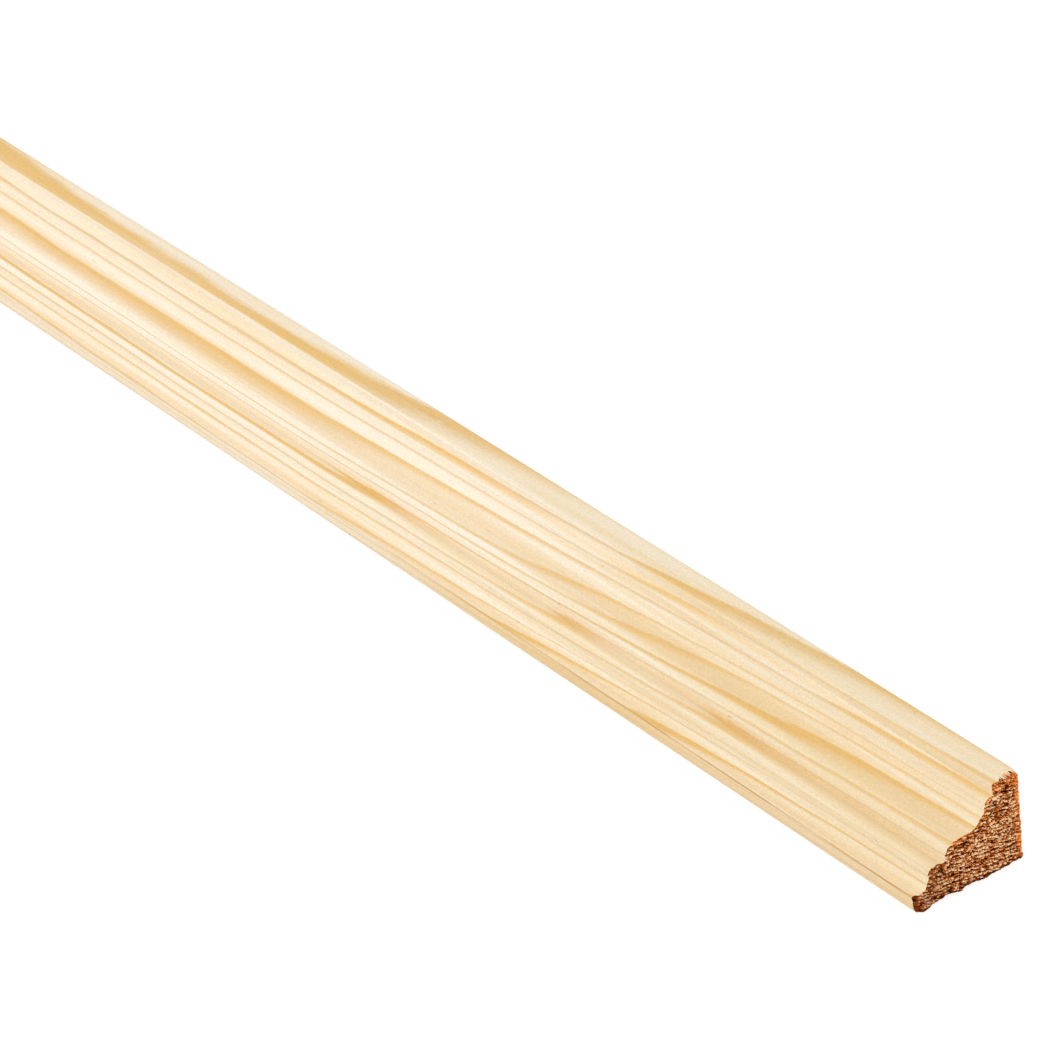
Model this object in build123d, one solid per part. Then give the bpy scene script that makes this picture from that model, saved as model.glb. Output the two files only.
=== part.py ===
"""A pine cornice moulding: one planed length of softwood with a moulded face.

The moulding lies on its base, as it would on a bench. X runs along its length, +Y is
the flat back and -Y the nose, and Z is up. The origin is the middle of the base.

The moulded face is a run of members, from the top fillet at the back down to the nose:
a square fillet, a small sloping step, a hollow, a flat, a quarter round, a quirk, a bead,
a second hollow and the nose. Each member has its own size, so the width of the base and
the height of the back are the members added up.
"""

import math
import os

from build123d import *

# Stock length, in millimetres as every size here
length = 2400.0

# The top fillet: the flat at the top of the back, and the square drop in front of it
top_fillet_width = 7.0
top_fillet_drop = 2.4

# The step between the fillet and the upper hollow, and how far it slopes down
top_step_width = 1.9
top_step_fall = 0.8

# The upper hollow, the flat at its foot, and the quarter round that follows it
upper_hollow_radius = 5.0
ogee_flat_width = 2.4
quarter_round_radius = 3.6

# The quirk, a narrow flat that parts the quarter round from the bead
quirk_width = 0.9

# The bead, and how far its crown stands above the quirk
bead_radius = 2.0
bead_rise = 0.4

# The lower hollow, and the nose that ends the moulded face
lower_hollow_radius = 3.0
nose_flat_width = 1.0
nose_height = 4.6
nose_round_radius = 2.4

# The cutters leave the square edges of the face crisp and ease those of the back
face_arris_radius = 0.4
back_arris_radius = 0.8

# The bead springs from the quirk, above and behind its own centre
bead_spring_height = bead_radius - bead_rise
bead_spring_run = math.sqrt(bead_radius**2 - bead_spring_height**2)

# Width of the base and height of the back
base_width = (
    top_fillet_width
    + top_step_width
    + upper_hollow_radius
    + ogee_flat_width
    + quarter_round_radius
    + quirk_width
    + bead_spring_run
    + bead_radius
    + lower_hollow_radius
    + nose_flat_width
)
back_height = (
    top_fillet_drop
    + top_step_fall
    + upper_hollow_radius
    + quarter_round_radius
    + bead_spring_height
    + lower_hollow_radius
    + nose_height
)


def section() -> Sketch:
    """The cross-section, with the back to the right, and every outer edge eased."""
    back = base_width / 2

    # The points where the members meet, from the top of the back round to its foot
    back_top = Vector(back, back_height)
    fillet_edge = back_top - Vector(top_fillet_width, 0)
    fillet_foot = fillet_edge - Vector(0, top_fillet_drop)
    step_edge = fillet_foot - Vector(top_step_width, top_step_fall)
    upper_hollow_foot = step_edge - Vector(upper_hollow_radius, upper_hollow_radius)
    round_top = upper_hollow_foot - Vector(ogee_flat_width, 0)
    round_foot = round_top - Vector(quarter_round_radius, quarter_round_radius)
    bead_spring = round_foot - Vector(quirk_width, 0)
    bead_centre = bead_spring - Vector(bead_spring_run, bead_spring_height)
    lower_hollow_top = bead_centre - Vector(bead_radius, 0)
    lower_hollow_foot = lower_hollow_top - Vector(lower_hollow_radius, lower_hollow_radius)
    nose_edge = lower_hollow_foot - Vector(nose_flat_width, 0)
    nose_foot = nose_edge - Vector(0, nose_height)
    back_foot = Vector(back, 0)

    # The other three arcs are quarter circles, and the bead turns on from where it springs
    upper_hollow_centre = step_edge - Vector(upper_hollow_radius, 0)
    round_centre = round_top - Vector(0, quarter_round_radius)
    lower_hollow_centre = lower_hollow_top - Vector(lower_hollow_radius, 0)
    spring_angle = math.degrees(math.atan2(bead_spring_height, bead_spring_run))

    outline = Curve() + [
        Polyline(back_top, fillet_edge, fillet_foot, step_edge),
        CenterArc(upper_hollow_centre, upper_hollow_radius, 0, -90),
        Line(upper_hollow_foot, round_top),
        CenterArc(round_centre, quarter_round_radius, 90, 90),
        Line(round_foot, bead_spring),
        CenterArc(bead_centre, bead_radius, spring_angle, 180 - spring_angle),
        CenterArc(lower_hollow_centre, lower_hollow_radius, 0, -90),
        Polyline(lower_hollow_foot, nose_edge, nose_foot, back_foot, back_top),
    ]
    face = make_face(outline)

    eased_corners = [
        (back_top, back_arris_radius),
        (fillet_edge, face_arris_radius),
        (step_edge, face_arris_radius),
        (nose_edge, face_arris_radius),
        (nose_foot, nose_round_radius),
        (back_foot, back_arris_radius),
    ]
    for corner, radius in eased_corners:
        face = fillet(face.vertices().sort_by_distance(corner)[0], radius)
    return face


def cornice_moulding() -> Part:
    """The section run out along the stock, half its length each way."""
    return extrude(Plane.YZ * section(), length / 2, both=True)


os.makedirs("parts", exist_ok=True)
export_step(cornice_moulding(), "parts/cornice_moulding.step")
print(f"section {base_width:.2f} x {back_height:.2f} mm, length {length:.0f} mm")
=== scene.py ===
"""A planed pine cornice moulding with sawn ends, dressed for its photograph.

The moulding lies on its base. X runs along its length, +Y is its flat back, -Y its nose and
Z is up, in metres. The timber's own sizes are in millimetres, as a joiner writes them.

A place in the timber is given as u, v and l. u runs from the back towards the nose, v runs
up from the base, and l runs along the length from the end nearest the camera.
"""
import logging
import math
from dataclasses import dataclass, field
from enum import Enum
from functools import partial
from typing import Callable, Sequence, Union

import bpy
import numpy as np
from mathutils import Matrix, Vector, noise
from mathutils.geometry import delaunay_2d_cdt
from mathutils.kdtree import KDTree


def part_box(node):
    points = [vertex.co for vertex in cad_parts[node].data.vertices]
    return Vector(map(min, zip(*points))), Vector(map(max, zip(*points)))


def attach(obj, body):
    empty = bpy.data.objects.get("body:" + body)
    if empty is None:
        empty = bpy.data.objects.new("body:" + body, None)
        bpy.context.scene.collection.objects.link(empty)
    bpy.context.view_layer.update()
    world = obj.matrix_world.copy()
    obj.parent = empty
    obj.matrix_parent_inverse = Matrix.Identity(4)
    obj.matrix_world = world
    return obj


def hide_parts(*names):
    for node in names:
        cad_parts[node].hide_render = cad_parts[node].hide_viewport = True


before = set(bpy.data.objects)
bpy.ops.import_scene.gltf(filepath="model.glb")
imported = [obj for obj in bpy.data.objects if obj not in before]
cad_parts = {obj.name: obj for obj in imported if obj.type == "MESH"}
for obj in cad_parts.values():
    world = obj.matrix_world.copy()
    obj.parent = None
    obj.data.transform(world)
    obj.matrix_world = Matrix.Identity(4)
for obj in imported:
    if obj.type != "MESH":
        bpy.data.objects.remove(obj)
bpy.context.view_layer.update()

MM = 0.001
NODE = "cornice_moulding"
BODY = "root"

log = logging.getLogger("moulding")

Colour = tuple[float, float, float]
Point = tuple[float, float]
Spot = tuple[float, float, float]
Number = Union["Field", float]
MapPlace = Callable[[float, float], Point]


def srgb(red: int, green: int, blue: int) -> Colour:
    """Turn a colour as a screen shows it into the linear colour that a shader takes.

    Args:
        red: The red part, 0 to 255.
        green: The green part, 0 to 255.
        blue: The blue part, 0 to 255.

    Returns:
        The three linear parts, 0 to 1.
    """
    parts = []
    for part in (red, green, blue):
        share = part / 255
        parts.append(share / 12.92 if share <= 0.04045 else ((share + 0.055) / 1.055) ** 2.4)
    return (parts[0], parts[1], parts[2])


def ease(value: float, low: float, high: float) -> float:
    """Rise smoothly from 0 at low to 1 at high.

    Args:
        value: The number to place between the two ends.
        low: Where the rise starts. It may be above high, for a fall.
        high: Where the rise ends.

    Returns:
        A share from 0 to 1.
    """
    share = min(1.0, max(0.0, (value - low) / (high - low)))
    return share * share * (3 - 2 * share)


# Shader building

class Field:
    """A number that varies over a surface, held as the output of a node."""

    def __init__(self, bench: "NodeBench", socket: bpy.types.NodeSocket) -> None:
        """Keep the bench that the number is made on and the socket that carries it."""
        self.bench = bench
        self.socket = socket

    def __add__(self, other: Number) -> "Field":
        """Add two numbers."""
        return self.bench.math("ADD", self, other)

    def __sub__(self, other: Number) -> "Field":
        """Take one number from another."""
        return self.bench.math("SUBTRACT", self, other)

    def __rsub__(self, other: float) -> "Field":
        """Take this number from a plain one."""
        return self.bench.math("SUBTRACT", other, self)

    def __mul__(self, other: Number) -> "Field":
        """Multiply two numbers."""
        return self.bench.math("MULTIPLY", self, other)

    def __truediv__(self, other: Number) -> "Field":
        """Divide one number by another."""
        return self.bench.math("DIVIDE", self, other)

    __radd__ = __add__
    __rmul__ = __mul__

    def eased(self, low: float, high: float) -> "Field":
        """Rise smoothly from 0 where this is low to 1 where it is high.

        Args:
            low: Where the rise starts.
            high: Where the rise ends.

        Returns:
            The share, 0 to 1.
        """
        node = self.bench.node("ShaderNodeMapRange", interpolation_type="SMOOTHSTEP")
        self.bench.feed(node.inputs["Value"], self)
        node.inputs["From Min"].default_value = low
        node.inputs["From Max"].default_value = high
        return Field(self.bench, node.outputs["Result"])


class NodeBench:
    """A material and the tools that add nodes to its tree."""

    # Where a mix node keeps its colours among its inputs and its outputs
    FIRST_COLOUR = 6
    SECOND_COLOUR = 7
    MIXED_COLOUR = 2

    def __init__(self, name: str) -> None:
        """Start a material that holds only its output and its shader.

        Args:
            name: The material's name.
        """
        self.material = bpy.data.materials.new(name)
        self.material.use_nodes = True
        self.tree = self.material.node_tree
        self.shader = self.tree.nodes["Principled BSDF"]
        self.output = self.tree.nodes["Material Output"]

    def node(self, kind: str, **settings: object) -> bpy.types.Node:
        """Add a node and set its own options.

        Args:
            kind: The node's type.
            settings: Options of the node, by name.

        Returns:
            The new node.
        """
        node = self.tree.nodes.new(kind)
        for name, value in settings.items():
            setattr(node, name, value)
        return node

    def feed(self, socket: bpy.types.NodeSocket, value: object) -> None:
        """Give an input its value: a link where it varies, and a plain value where it doesn't.

        Args:
            socket: The input.
            value: A field, another node's output, a number or a colour.
        """
        if isinstance(value, Field):
            self.tree.links.new(value.socket, socket)
        elif isinstance(value, bpy.types.NodeSocket):
            self.tree.links.new(value, socket)
        elif isinstance(value, tuple):
            socket.default_value = (*value, 1.0)
        else:
            socket.default_value = value

    def math(self, operation: str, *values: Number) -> Field:
        """Work out one step of arithmetic.

        Args:
            operation: The step, as the math node names it.
            values: What goes into it, in order.

        Returns:
            The result.
        """
        node = self.node("ShaderNodeMath", operation=operation)
        for socket, value in zip(node.inputs, values):
            self.feed(socket, value)
        return Field(self, node.outputs["Value"])

    def timber(self) -> tuple[Field, Field, Field]:
        """Give the place in the timber of each point, in millimetres.

        Returns:
            u, v and l.
        """
        low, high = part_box(NODE)
        coordinates = self.node("ShaderNodeTexCoord")
        parts = self.node("ShaderNodeSeparateXYZ")
        self.feed(parts.inputs[0], coordinates.outputs["Object"])
        x, y, z = (Field(self, output) for output in parts.outputs)
        return (high[1] - y) / MM, z / MM, (high[0] - x) / MM

    def place(self, first: Number, second: Number, third: Number) -> bpy.types.NodeSocket:
        """Join three numbers into the place that a texture is read at.

        Args:
            first: How far the place is in the texture's first direction.
            second: How far it is in the second direction.
            third: How far it is in the third direction.

        Returns:
            The output that carries the place.
        """
        node = self.node("ShaderNodeCombineXYZ")
        for socket, value in zip(node.inputs, (first, second, third)):
            self.feed(socket, value)
        return node.outputs[0]

    def curve(self, value: Field, points: Sequence[Point], smooth: bool) -> Field:
        """Look a number up on a curve drawn through points.

        Args:
            value: The number to look up.
            points: The curve's points, from left to right.
            smooth: Whether the curve is rounded at its points or runs straight between them.

        Returns:
            The curve's height there.
        """
        left = points[0][0]
        wide = points[-1][0] - left
        bottom = min(point[1] for point in points)
        tall = max(point[1] for point in points) - bottom
        node = self.node("ShaderNodeFloatCurve")
        knots = node.mapping.curves[0].points
        for _ in range(len(points) - len(knots)):
            knots.new(0.5, 0.5)
        for knot, (across, up) in zip(knots, points):
            knot.location = ((across - left) / wide, (up - bottom) / tall)
            knot.handle_type = "AUTO_CLAMPED" if smooth else "VECTOR"
        node.mapping.update()
        self.feed(node.inputs["Value"], (value - left) / wide)
        return Field(self, node.outputs["Value"]) * tall + bottom

    def blend(self, share: Number, first: object, second: object) -> bpy.types.NodeSocket:
        """Mix two colours.

        Args:
            share: How much of the second there is.
            first: A colour or an output that carries one.
            second: A colour or an output that carries one.

        Returns:
            The output that carries the mixture.
        """
        node = self.node("ShaderNodeMix", data_type="RGBA")
        self.feed(node.inputs["Factor"], share)
        self.feed(node.inputs[self.FIRST_COLOUR], first)
        self.feed(node.inputs[self.SECOND_COLOUR], second)
        return node.outputs[self.MIXED_COLOUR]

    def shade(self, amount: Field, colour: object) -> bpy.types.NodeSocket:
        """Make a colour lighter or darker by a share that varies.

        Args:
            amount: What the colour is multiplied by.
            colour: A colour or an output that carries one.

        Returns:
            The output that carries the shaded colour.
        """
        node = self.node("ShaderNodeMix", data_type="RGBA", blend_type="MULTIPLY")
        node.inputs["Factor"].default_value = 1.0
        self.feed(node.inputs[self.FIRST_COLOUR], colour)
        grey = self.node("ShaderNodeCombineColor")
        for socket in grey.inputs:
            self.feed(socket, amount)
        self.feed(node.inputs[self.SECOND_COLOUR], grey.outputs[0])
        return node.outputs[self.MIXED_COLOUR]

    def steepness(self) -> Field:
        """Give how steep the surface is, 0 where it is level to 1 where it is upright.

        Returns:
            The steepness.
        """
        geometry = self.node("ShaderNodeNewGeometry")
        parts = self.node("ShaderNodeSeparateXYZ")
        self.feed(parts.inputs[0], geometry.outputs["Normal"])
        upward = Field(self, parts.outputs["Z"])
        return 1.0 - upward * upward

    def attribute(self, name: str) -> Field:
        """Read a number that the mesh holds at each of its points."""
        node = self.node("ShaderNodeAttribute", attribute_name=name)
        return Field(self, node.outputs["Fac"])

    def relief(self, height: Field) -> None:
        """Raise the surface by bending its normals.

        Args:
            height: The height in millimetres.
        """
        node = self.node("ShaderNodeBump")
        node.inputs["Distance"].default_value = MM
        self.feed(node.inputs["Height"], height)
        self.feed(self.shader.inputs["Normal"], node.outputs["Normal"])


@dataclass(frozen=True)
class Lumps:
    """A cloudy pattern: how big its lumps are each way, and how they are broken up.

    detail is how many finer layers the lumps have, rough is how strong those layers are, and
    curl is how far the lumps are twisted. shift moves the pattern, so that no two fall together.
    """

    sizes: Spot
    detail: float = 2.0
    rough: float = 0.5
    curl: float = 0.0
    shift: Spot = (0.0, 0.0, 0.0)

    def read(self, bench: NodeBench, first: Number, second: Number, third: Number) -> Field:
        """Read the pattern over a surface.

        Args:
            bench: The material's bench.
            first: How far each point is in the first direction, in millimetres.
            second: How far it is in the second direction.
            third: How far it is in the third direction.

        Returns:
            The pattern, about -1 to 1.
        """
        where = []
        for place, size, shift in zip((first, second, third), self.sizes, self.shift):
            where.append(place / size + shift if shift else place / size)
        node = bench.node("ShaderNodeTexNoise")
        bench.feed(node.inputs["Vector"], bench.place(*where))
        node.inputs["Scale"].default_value = 1.0
        node.inputs["Detail"].default_value = self.detail
        node.inputs["Roughness"].default_value = self.rough
        node.inputs["Distortion"].default_value = self.curl
        return Field(bench, node.outputs["Fac"]) * 2.0 - 1.0


# Timber

@dataclass(frozen=True)
class Ring:
    """One year's growth.

    Its width is in millimetres. Its late wood has a darkness, 0 to about 1.4, and starts at
    a share of the width.
    """

    width: float
    late_wood: float
    start: float = 0.5


@dataclass(frozen=True)
class GrowthRings:
    """How the tree's rings lie in the moulding.

    The rings are nearly level. They fall towards the back, wander up and down along the
    length, and run from the heart side below to the bark side above. On the top flat they dip
    more towards the back, along some stretches of the length.
    """

    heart_edge: float = -12.1
    fall: float = 0.26
    fall_swing: float = 0.045
    curve: float = 0.001
    curve_swing: float = 0.01
    swing_period: float = 1900.0
    swing_start: float = 150.0
    middle: float = 14.0
    rings: tuple[Ring, ...] = (
        Ring(1.60, 0.70), Ring(1.70, 0.75), Ring(1.70, 0.90), Ring(1.70, 1.15, 0.58),
        Ring(1.95, 1.40, 0.60), Ring(2.10, 1.30, 0.60), Ring(1.70, 1.10, 0.58),
        Ring(1.25, 0.80, 0.55), Ring(2.60, 0.95), Ring(2.30, 0.92, 0.42), Ring(2.05, 1.20, 0.44),
        Ring(1.80, 0.80), Ring(1.50, 0.78), Ring(3.20, 0.98), Ring(2.75, 0.80),
        Ring(3.20, 1.02, 0.36), Ring(4.20, 1.02, 0.53), Ring(3.80, 0.95), Ring(3.50, 0.95),
    )
    drift: tuple[Point, ...] = (
        (0, -1.9), (30, -1.25), (60, -0.4), (90, 0.8), (120, 2.25), (150, 3.4), (180, 4.1),
        (220, 5.0), (260, 5.3), (310, 5.35), (360, 5.15), (460, 3.8), (570, 2.8), (720, 3.2),
        (880, 4.6), (1010, 5.2), (1160, 4.3), (1330, 2.6), (1500, 1.6), (1700, 2.1), (1900, 3.5),
        (2100, 4.6), (2250, 4.9), (2400, 4.5),
    )
    dip: float = 0.15
    dip_middle: float = 4.0
    dip_rise: Point = (17.0, 20.0)
    dip_reach: tuple[Point, ...] = (
        (0, 0.4), (40, 1.0), (105, 1.0), (150, 0.2), (200, 0.0), (900, 0.0), (1200, 0.8),
        (1500, 0.0), (2400, 0.5),
    )
    late_wood_full: float = 0.89
    late_wood_end: float = 1.0
    start_holds: Point = (0.05, 0.98)
    ripple: float = 0.2
    ripple_lumps: Lumps = Lumps((26.0, 7.0, 7.0), detail=1.0)
    feather: float = 0.13
    feather_lumps: Lumps = Lumps((12.0, 0.4, 0.4))
    patchiness: float = 0.3
    patch_lumps: Lumps = Lumps((55.0, 2.2, 2.2), detail=1.0)

    def edges(self) -> list[Point]:
        """Number the rings across the timber.

        Returns:
            The place where the first ring starts and each ring ends, with how many lie below it.
        """
        places = [(self.heart_edge, 0.0)]
        for number, ring in enumerate(self.rings, 1):
            places.append((places[-1][0] + ring.width, float(number)))
        return places

    def strengths(self) -> list[Point]:
        """Give how dark the late wood is, at the place in each ring where it is darkest."""
        return [(number + self.late_wood_full, ring.late_wood) for number, ring in enumerate(self.rings)]

    def starts(self) -> list[Point]:
        """Lay out where in each ring its late wood starts.

        Returns:
            The share of the ring at which it starts, at two places that keep it level over the ring.
        """
        places = []
        for number, ring in enumerate(self.rings):
            places += [(number + share, ring.start) for share in self.start_holds]
        return places

    def late_wood(self, bench: NodeBench, u: Field, v: Field, l: Field, narrow: Field) -> Field:
        """Work out how much late wood there is at each point.

        Args:
            bench: The material's bench.
            u: How far the point is from the back.
            v: How high the point is.
            l: How far the point is from the near end.
            narrow: How much of a ring later the late wood starts.

        Returns:
            The late wood, from 0 where the wood is pale to 1 or more where it is darkest.
        """
        swing = bench.math("SINE", (l - self.swing_start) * (2 * math.pi / self.swing_period))
        aside = u - self.middle
        lean = aside * (swing * self.fall_swing) + aside * aside * (swing * self.curve_swing + self.curve)
        wander = bench.curve(l, self.drift, smooth=True)
        ripple = self.ripple_lumps.read(bench, l, u, v) * self.ripple
        feather = self.feather_lumps.read(bench, l, u, v) * self.feather
        dip_reach = bench.curve(l, self.dip_reach, smooth=False)
        dip = (u - self.dip_middle) * v.eased(*self.dip_rise) * dip_reach * self.dip
        across = v - u * self.fall - lean - dip + wander + ripple + feather
        number = bench.curve(across, self.edges(), smooth=False)
        phase = bench.math("FRACT", number)
        start = bench.curve(number, self.starts(), smooth=False) + narrow
        rising = ((phase - start) / (self.late_wood_full - start)).eased(0.0, 1.0)
        falling = 1.0 - phase.eased(self.late_wood_full, self.late_wood_end)
        strength = bench.curve(number, self.strengths(), smooth=False)
        patch = self.patch_lumps.read(bench, l, u, v) * self.patchiness
        return rising * falling * strength * (1.0 + patch)


@dataclass(frozen=True)
class PlanedPine:
    """Bare pine as it leaves the moulding cutters.

    The pale wood is warmer in streaks. In stretches along the length it is warmer and darker, most
    of all near the sawn ends: partly its own tone and partly painted shade, where less light falls.
    The late wood lies over it, paler on the steep faces, where the light goes through. Over that
    lie the shade of the fibres, the resin canals, painted shade along the nose's upper arris and
    the lifted flakes.
    """

    early_wood: Colour = srgb(252, 240, 219)
    warm: Colour = srgb(243, 220, 178)
    late_wood: Colour = srgb(236, 193, 119)
    fleck: Colour = srgb(150, 92, 42)
    flake: Colour = srgb(252, 232, 190)
    # Painted shade along the nose's upper arris
    arris_shade: Colour = srgb(188, 142, 72)
    sheen_level: float = 0.25

    # Where the faces are
    top_level: float = 20.9
    edge_blur: float = 0.1
    flat_steepness: Point = (0.04, 0.25)
    nose_edge: Point = (27.85, 4.36)
    nose_front: Point = (27.6, 27.95)

    # Patterns in the grain, along the length, towards the nose and up
    fibre: Lumps = Lumps((34.0, 0.3, 0.3), detail=3.0, rough=0.6)
    streak: Lumps = Lumps((80.0, 0.9, 0.9))
    mottle: Lumps = Lumps((0.6, 0.34, 0.34), rough=0.6)
    cloud: Lumps = Lumps((120.0, 7.0, 7.0), detail=1.0)
    canal: Lumps = Lumps((2.2, 0.2, 0.2), detail=0.0, shift=(0.0, 0.0, 40.0))
    flakes: Lumps = Lumps((5.0, 0.22, 1.0), detail=1.0, shift=(0.0, 0.0, 7.0))
    # Where the painted shade along the nose's arris is broken
    arris_shade_breaks: Lumps = Lumps((22.0, 1.0, 1.0), shift=(0.0, 3.0, 9.0))

    # How warm the pale wood is
    warm_level: float = 0.4
    cloud_warmth: float = 0.5
    fibre_warmth: float = 0.65
    streak_warmth: float = 0.45
    lower_streak: float = 0.3
    lower_cool: float = 0.2
    shade_and_tone_warmth: float = 0.54

    # How the late wood shows
    glow_through: float = 0.44
    shade_and_tone_glow: float = 0.2
    steep_narrowing: float = 0.2
    steep_shade: float = 0.12
    level_tint: float = 0.33
    level_fade: float = 0.06

    # How light and shade lie over it
    fibre_light: float = 0.08
    streak_light: float = 0.03
    mottle_light: float = 0.18
    # Painted shade in the darker stretches along the length
    painted_length_shade: float = 0.035
    canal_range: Point = (0.72, 0.78)
    canal_depth: float = 0.6
    arris_shade_range: Point = (-0.8333, 0.4167)
    arris_shade_depth: float = 0.35
    arris_shade_growth: float = 0.45
    flake_range: Point = (0.12, 0.3)
    flake_late: Point = (0.1, 0.4)
    flake_depth: float = 0.6

    # How the surface feels, with heights in millimetres
    roughness: float = 0.52
    fibre_rough: float = 0.1
    late_smooth: float = 0.06
    cutter_pitch: float = 1.9
    cutter_height: float = 0.002
    fibre_height: float = 0.02
    mottle_height: float = 0.03
    late_height: float = 0.02
    flake_height: float = 0.05

    # What changes along the length
    # Stretches along the length that are warmer and darker, most near the ends: partly the wood's tone,
    # partly painted shade where less light falls. The top flat takes only a share of it.
    top_shade_and_tone: float = 0.5
    age: tuple[Point, ...] = (
        (0, 1.0), (60, 0.95), (100, 0.75), (150, 0.35), (200, 0.1), (260, 0.0), (400, 0.05),
        (600, 0.5), (850, 0.2), (1100, 0.6), (1400, 0.3), (1700, 0.7), (2000, 0.3), (2250, 0.7),
        (2400, 0.9),
    )
    lifted_grain: tuple[Point, ...] = (
        (0, 0.0), (38, 0.0), (54, 1.0), (74, 1.0), (90, 0.0), (164, 0.0), (178, 1.0), (206, 1.0),
        (222, 0.0), (640, 0.0), (670, 0.8), (700, 0.0), (1180, 0.0), (1230, 0.9), (1280, 0.0),
        (1900, 0.0), (1940, 1.0), (1990, 0.0), (2400, 0.0),
    )
    nose_tint: tuple[Point, ...] = (
        (0, 0.5), (70, 0.42), (105, 0.6), (160, 0.42), (210, 0.16), (260, 0.2), (900, 0.2),
        (1500, 0.45), (2400, 0.3),
    )
    rings: GrowthRings = field(default_factory=GrowthRings)

    def material(self) -> bpy.types.Material:
        """Build the finish of the planed faces.

        Returns:
            The material.
        """
        bench = NodeBench("planed_pine")
        u, v, l = bench.timber()
        steep = bench.steepness()
        top = v.eased(self.top_level - self.edge_blur, self.top_level)
        lower = 1.0 - top
        # Warmer, darker stretches along the length: partly tone, partly painted shade
        age = bench.curve(l, self.age, smooth=True) * (lower * (1.0 - self.top_shade_and_tone) + self.top_shade_and_tone)
        patterns = (self.fibre, self.streak, self.mottle, self.cloud, self.canal)
        fibre, streak, mottle, cloud, canal = (pattern.read(bench, l, u, v) for pattern in patterns)
        late = self.rings.late_wood(bench, u, v, l, steep * self.steep_narrowing)
        late *= 1.0 - steep * (age * self.shade_and_tone_glow + self.glow_through)
        lifted = self.lifted(bench, u, l) * top * late.eased(*self.flake_late)

        warmth = cloud * self.cloud_warmth + streak * (lower * self.lower_streak + self.streak_warmth)
        warmth += fibre * self.fibre_warmth + age * self.shade_and_tone_warmth
        warmth += self.warm_level - lower * self.lower_cool
        level = (1.0 - steep.eased(*self.flat_steepness)) * lower
        tint = level * (self.level_tint - age * self.level_fade)
        tint += u.eased(*self.nose_front) * bench.curve(l, self.nose_tint, smooth=True)
        light = 1.0 + fibre * self.fibre_light + streak * self.streak_light + mottle * self.mottle_light
        # Painted shade in those stretches, and darker late wood on the steep faces
        light -= age * self.painted_length_shade + late * steep * self.steep_shade
        # Painted shade along the nose's upper arris, deeper in the darker stretches
        arris_shade = self.nose_arris_shade(bench, u, v, l) * (age * self.arris_shade_growth + self.arris_shade_depth)

        wood = bench.blend(warmth.eased(0.0, 1.0), self.early_wood, self.warm)
        wood = bench.blend(late + (1.0 - late) * tint, wood, self.late_wood)
        wood = bench.shade(light, wood)
        wood = bench.blend(canal.eased(*self.canal_range) * self.canal_depth, wood, self.fleck)
        wood = bench.blend(arris_shade, wood, self.arris_shade)
        wood = bench.blend(lifted * self.flake_depth, wood, self.flake)
        bench.feed(bench.shader.inputs["Base Color"], wood)

        rough = self.roughness + fibre * self.fibre_rough - late * self.late_smooth
        bench.feed(bench.shader.inputs["Roughness"], rough)
        bench.shader.inputs["Specular IOR Level"].default_value = self.sheen_level
        cutter = bench.math("SINE", l * (2 * math.pi / self.cutter_pitch))
        height = fibre * self.fibre_height + mottle * self.mottle_height + late * self.late_height
        height += cutter * self.cutter_height + lifted * self.flake_height
        bench.relief(height)
        return bench.material

    def nose_arris_shade(self, bench: NodeBench, u: Field, v: Field, l: Field) -> Field:
        """Find the painted shade along the nose's upper edge.

        Args:
            bench: The material's bench.
            u: How far the point is from the back.
            v: How high the point is.
            l: How far the point is from the near end.

        Returns:
            The line, from 0 off it to about 1 on it.
        """
        edge_u, edge_v = self.nose_edge
        broken = self.arris_shade_breaks.read(bench, l, 0.0, 0.0).eased(*self.arris_shade_range)
        return u.eased(edge_u - self.edge_blur, edge_u) * v.eased(edge_v - self.edge_blur, edge_v) * broken

    def lifted(self, bench: NodeBench, u: Field, l: Field) -> Field:
        """Find the flakes of grain that the cutters lifted.

        Args:
            bench: The material's bench.
            u: How far the point is from the back.
            l: How far the point is from the near end.

        Returns:
            The flakes, from 0 where there is none to 1.
        """
        flake = self.flakes.read(bench, l, u, 0.0).eased(*self.flake_range)
        return flake * bench.curve(l, self.lifted_grain, smooth=False)


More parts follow.
